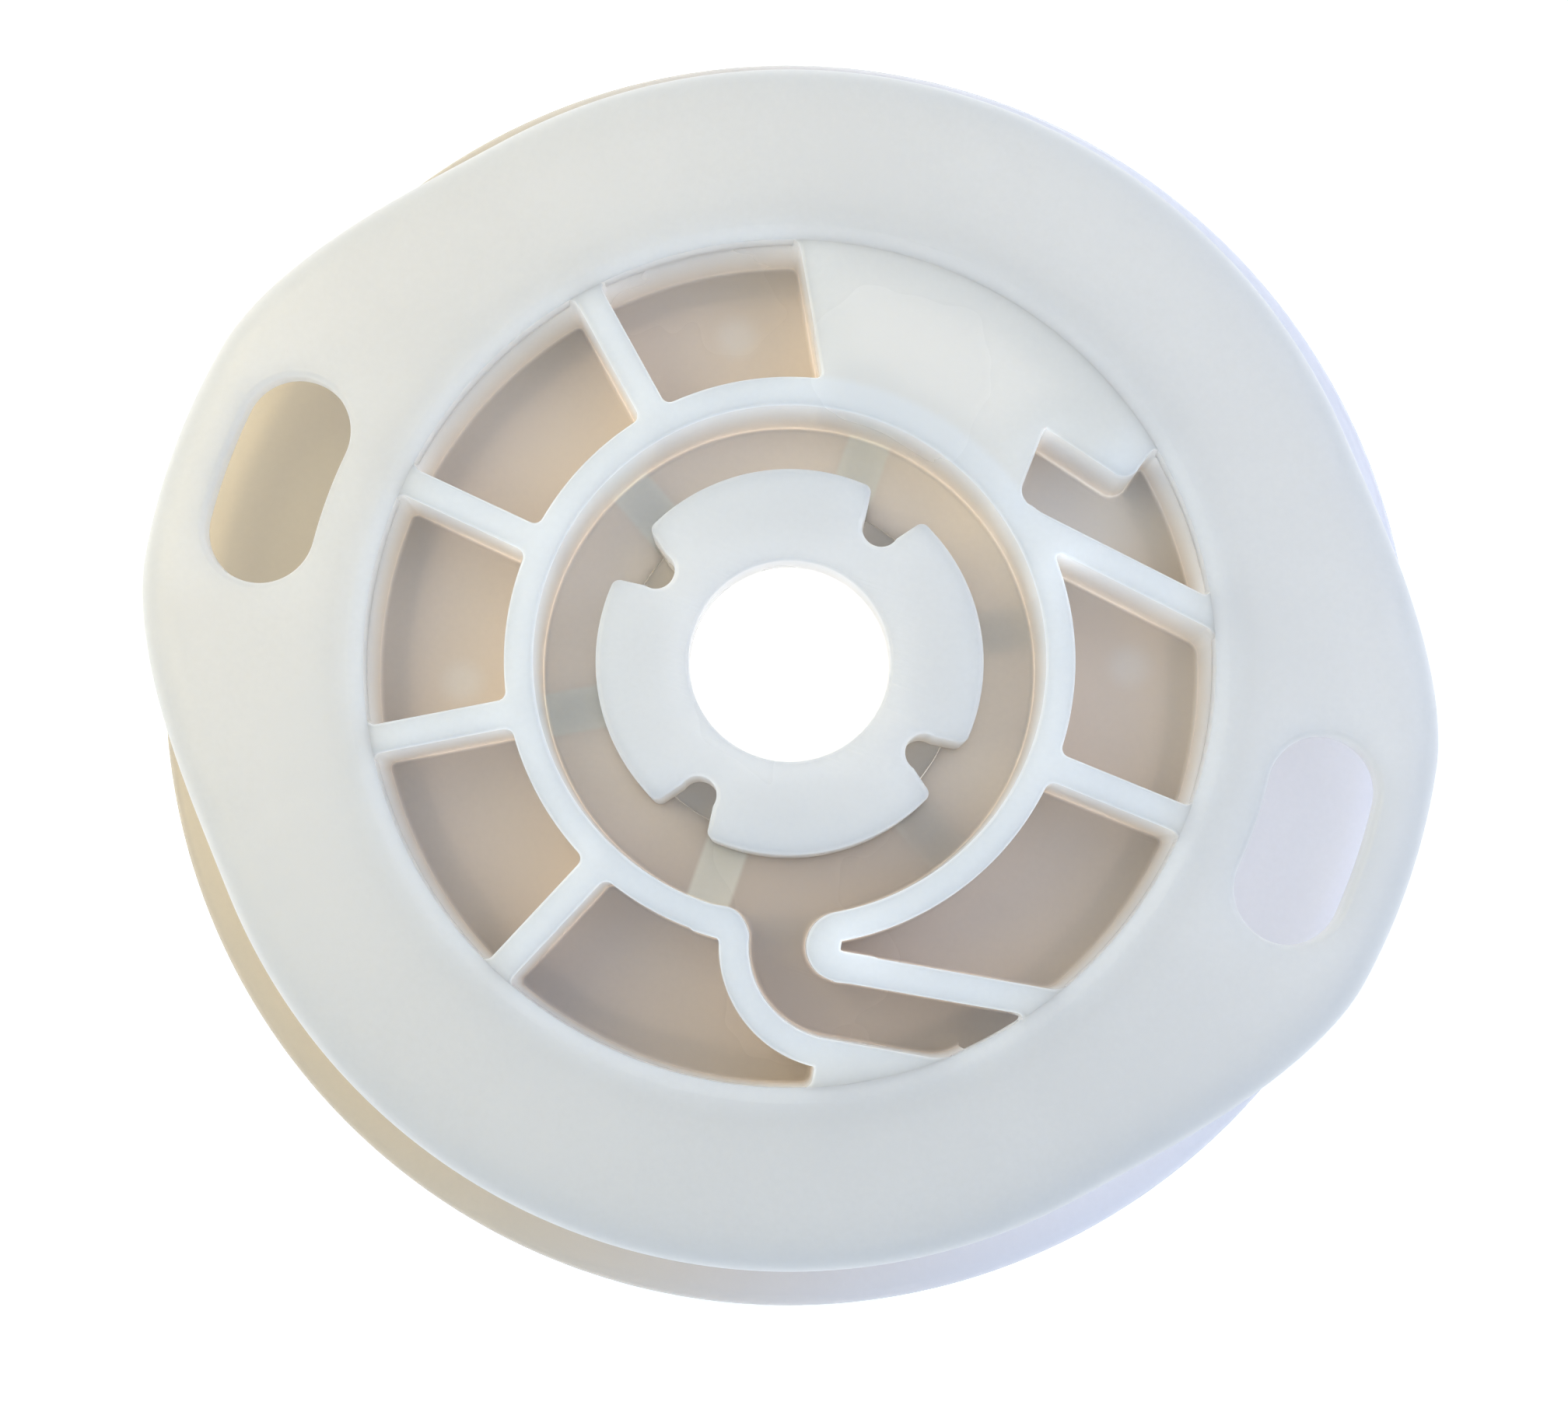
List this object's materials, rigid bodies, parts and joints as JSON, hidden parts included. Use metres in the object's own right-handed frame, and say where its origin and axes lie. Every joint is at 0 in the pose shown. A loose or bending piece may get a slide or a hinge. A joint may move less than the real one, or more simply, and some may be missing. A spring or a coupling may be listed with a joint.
{
  "type": "cable reel",
  "caption": "Flat two-flange cable reel in translucent white plastic, with an eared front flange, a ribbed drum with a cable guide and outlet, and a notched hub.",
  "frame": {"origin": "on the axle axis, in the plane of the rear face", "axes": "+Z along the axle axis out of the front face; +X towards one of the two ears; +Y completes a right-handed frame"},
  "size_m": [0.1348, 0.1348, 0.0202],
  "materials": {
    "flange_plastic": "satin translucent natural white moulding",
    "drum_plastic": "satin translucent natural white moulding",
    "hub_plastic": "satin translucent natural white moulding, slightly denser"
  },
  "bodies": {
    "root": {"flange_north": "flange_plastic", "flange_south": "flange_plastic", "flange_ear_east": "flange_plastic", "flange_ear_west": "flange_plastic", "rear_flange": "flange_plastic", "drum_wall": "drum_plastic", "web_plate": "drum_plastic", "rear_ribs": "drum_plastic", "guide_ring": "drum_plastic", "outlet_guide": "drum_plastic", "pocket_ribs": "drum_plastic", "closed_sector": "drum_plastic", "hub": "hub_plastic"}
  },
  "joints": []
}
